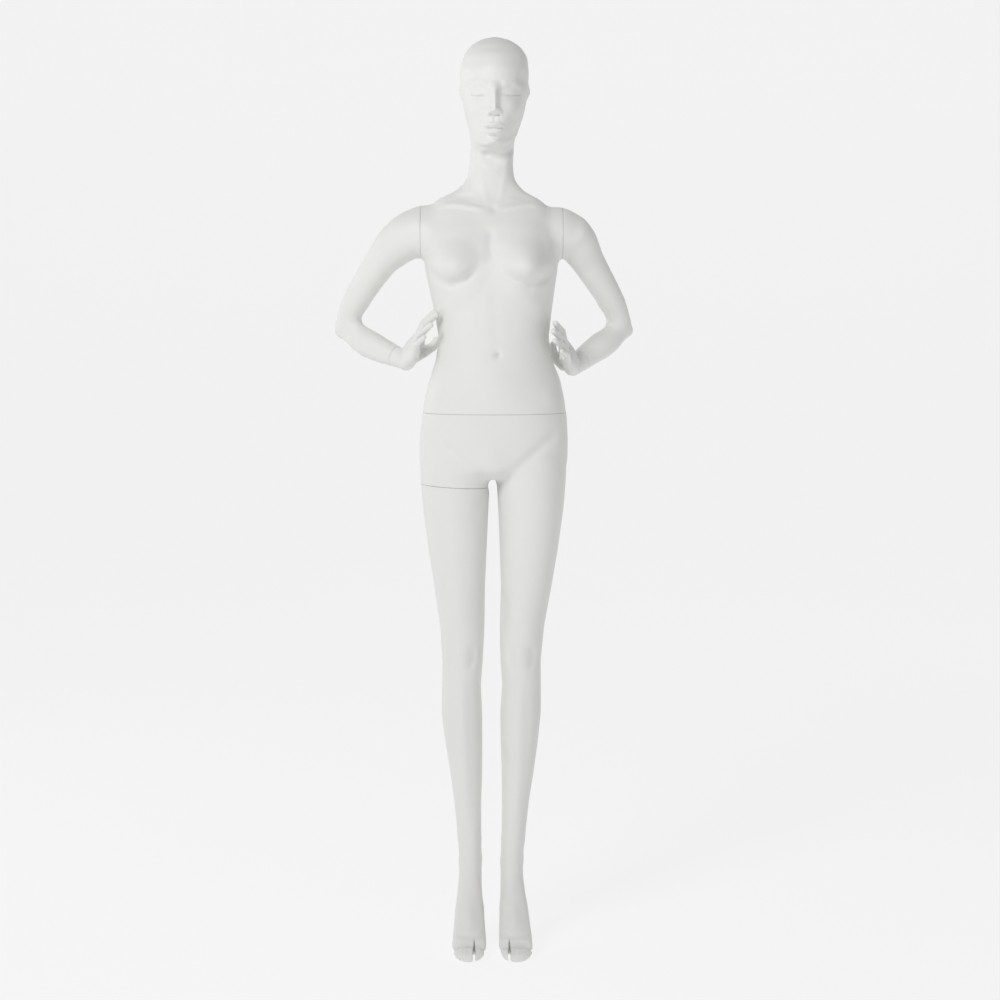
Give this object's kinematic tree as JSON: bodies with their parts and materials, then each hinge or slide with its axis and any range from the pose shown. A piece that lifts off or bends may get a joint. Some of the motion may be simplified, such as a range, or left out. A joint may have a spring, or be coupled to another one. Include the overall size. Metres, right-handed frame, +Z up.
{
  "type": "full body mannequin",
  "caption": "Female display mannequin with hands on the waist and raised heels, that comes apart at the waist, a thigh, the shoulders and the wrists.",
  "frame": {"origin": "on the floor, below the middle of the figure's bounding box, at the level of the toe tips", "axes": "+Z up along the figure, the figure faces -Y, its own left side is +X"},
  "size_m": [0.6265, 0.2939, 1.8395],
  "materials": {
    "painted_fibreglass": "matte sprayed off-white paint over glass fibre and resin",
    "plywood": "sanded birch plywood, unpainted",
    "steel_fittings": "turned steel, plated",
    "zinc_screws": "zinc plated",
    "spring_steel": "blued spring steel",
    "brass": "turned brass"
  },
  "bodies": {
    "lower_body": {"lower_body_casting": "painted_fibreglass", "calf_rod_tube": "steel_fittings", "calf_web_board": "plywood", "waist_fixed_board": "plywood", "waist_bearing_plate": "steel_fittings", "waist_bearing_screws": "zinc_screws", "thigh_fixed_board": "plywood", "thigh_bearing_plate": "steel_fittings", "thigh_bearing_screws": "zinc_screws"},
    "waist_swivel": {"waist_swivel_stud": "steel_fittings", "waist_stud_clip": "spring_steel"},
    "upper_body": {"upper_body_casting": "painted_fibreglass", "waist_free_board": "plywood", "waist_socket_plate": "steel_fittings", "waist_socket_screws": "zinc_screws", "right_shoulder_fixed_board": "plywood", "right_shoulder_bearing_plate": "steel_fittings", "right_shoulder_bearing_screws": "zinc_screws", "left_shoulder_fixed_board": "plywood", "left_shoulder_bearing_plate": "steel_fittings", "left_shoulder_bearing_screws": "zinc_screws"},
    "thigh_swivel": {"thigh_swivel_stud": "steel_fittings", "thigh_stud_clip": "spring_steel"},
    "right_leg": {"right_leg_casting": "painted_fibreglass", "thigh_free_board": "plywood", "thigh_socket_plate": "steel_fittings", "thigh_socket_screws": "zinc_screws"},
    "right_shoulder_swivel": {"right_shoulder_swivel_stud": "steel_fittings", "right_shoulder_stud_clip": "spring_steel"},
    "right_arm": {"right_arm_casting": "painted_fibreglass", "right_shoulder_free_board": "plywood", "right_shoulder_socket_plate": "steel_fittings", "right_shoulder_socket_screws": "zinc_screws", "right_forearm_plug": "plywood", "right_wrist_bush": "brass"},
    "right_hand": {"right_hand_casting": "painted_fibreglass", "right_hand_plug": "plywood", "right_wrist_peg": "steel_fittings"},
    "left_shoulder_swivel": {"left_shoulder_swivel_stud": "steel_fittings", "left_shoulder_stud_clip": "spring_steel"},
    "left_arm": {"left_arm_casting": "painted_fibreglass", "left_shoulder_free_board": "plywood", "left_shoulder_socket_plate": "steel_fittings", "left_shoulder_socket_screws": "zinc_screws", "left_forearm_plug": "plywood", "left_wrist_bush": "brass"},
    "left_hand": {"left_hand_casting": "painted_fibreglass", "left_hand_plug": "plywood", "left_wrist_peg": "steel_fittings"}
  },
  "joints": [
    {"name": "waist_turn", "type": "hinge", "parent": "lower_body", "child": "waist_swivel", "pos_m": [0.021, 0.002, 1.095], "axis": [0, 0, 1], "range_deg": [-30, 30]},
    {"name": "waist_lift", "type": "slide", "parent": "waist_swivel", "child": "upper_body", "axis": [0, 0, 1], "range_m": [0, 0.045]},
    {"name": "thigh_turn", "type": "hinge", "parent": "lower_body", "child": "thigh_swivel", "pos_m": [-0.058, 0.005, 0.948], "axis": [-0.0523, 0, -0.9986], "range_deg": [0, 30]},
    {"name": "thigh_drop", "type": "slide", "parent": "thigh_swivel", "child": "right_leg", "axis": [-0.0523, 0, -0.9986], "range_m": [0, 0.045]},
    {"name": "right_shoulder_turn", "type": "hinge", "parent": "upper_body", "child": "right_shoulder_swivel", "pos_m": [-0.1255, 0.014, 1.456], "axis": [1, 0, 0], "range_deg": [-4, 3]},
    {"name": "right_arm_pull", "type": "slide", "parent": "right_shoulder_swivel", "child": "right_arm", "axis": [-1, 0, 0], "range_m": [0, 0.035]},
    {"name": "right_wrist_turn", "type": "hinge", "parent": "right_arm", "child": "right_hand", "pos_m": [-0.17952, 0.0599, 1.20652], "axis": [0.7971, -0.5148, -0.3155], "range_deg": [0, 15]},
    {"name": "left_shoulder_turn", "type": "hinge", "parent": "upper_body", "child": "left_shoulder_swivel", "pos_m": [0.1585, 0.014, 1.456], "axis": [1, 0, 0], "range_deg": [-4, 3]},
    {"name": "left_arm_pull", "type": "slide", "parent": "left_shoulder_swivel", "child": "left_arm", "axis": [1, 0, 0], "range_m": [0, 0.035]},
    {"name": "left_wrist_turn", "type": "hinge", "parent": "left_arm", "child": "left_hand", "pos_m": [0.19767, 0.06353, 1.19897], "axis": [-0.6546, -0.6123, -0.4434], "range_deg": [-15, 0]}
  ]
}
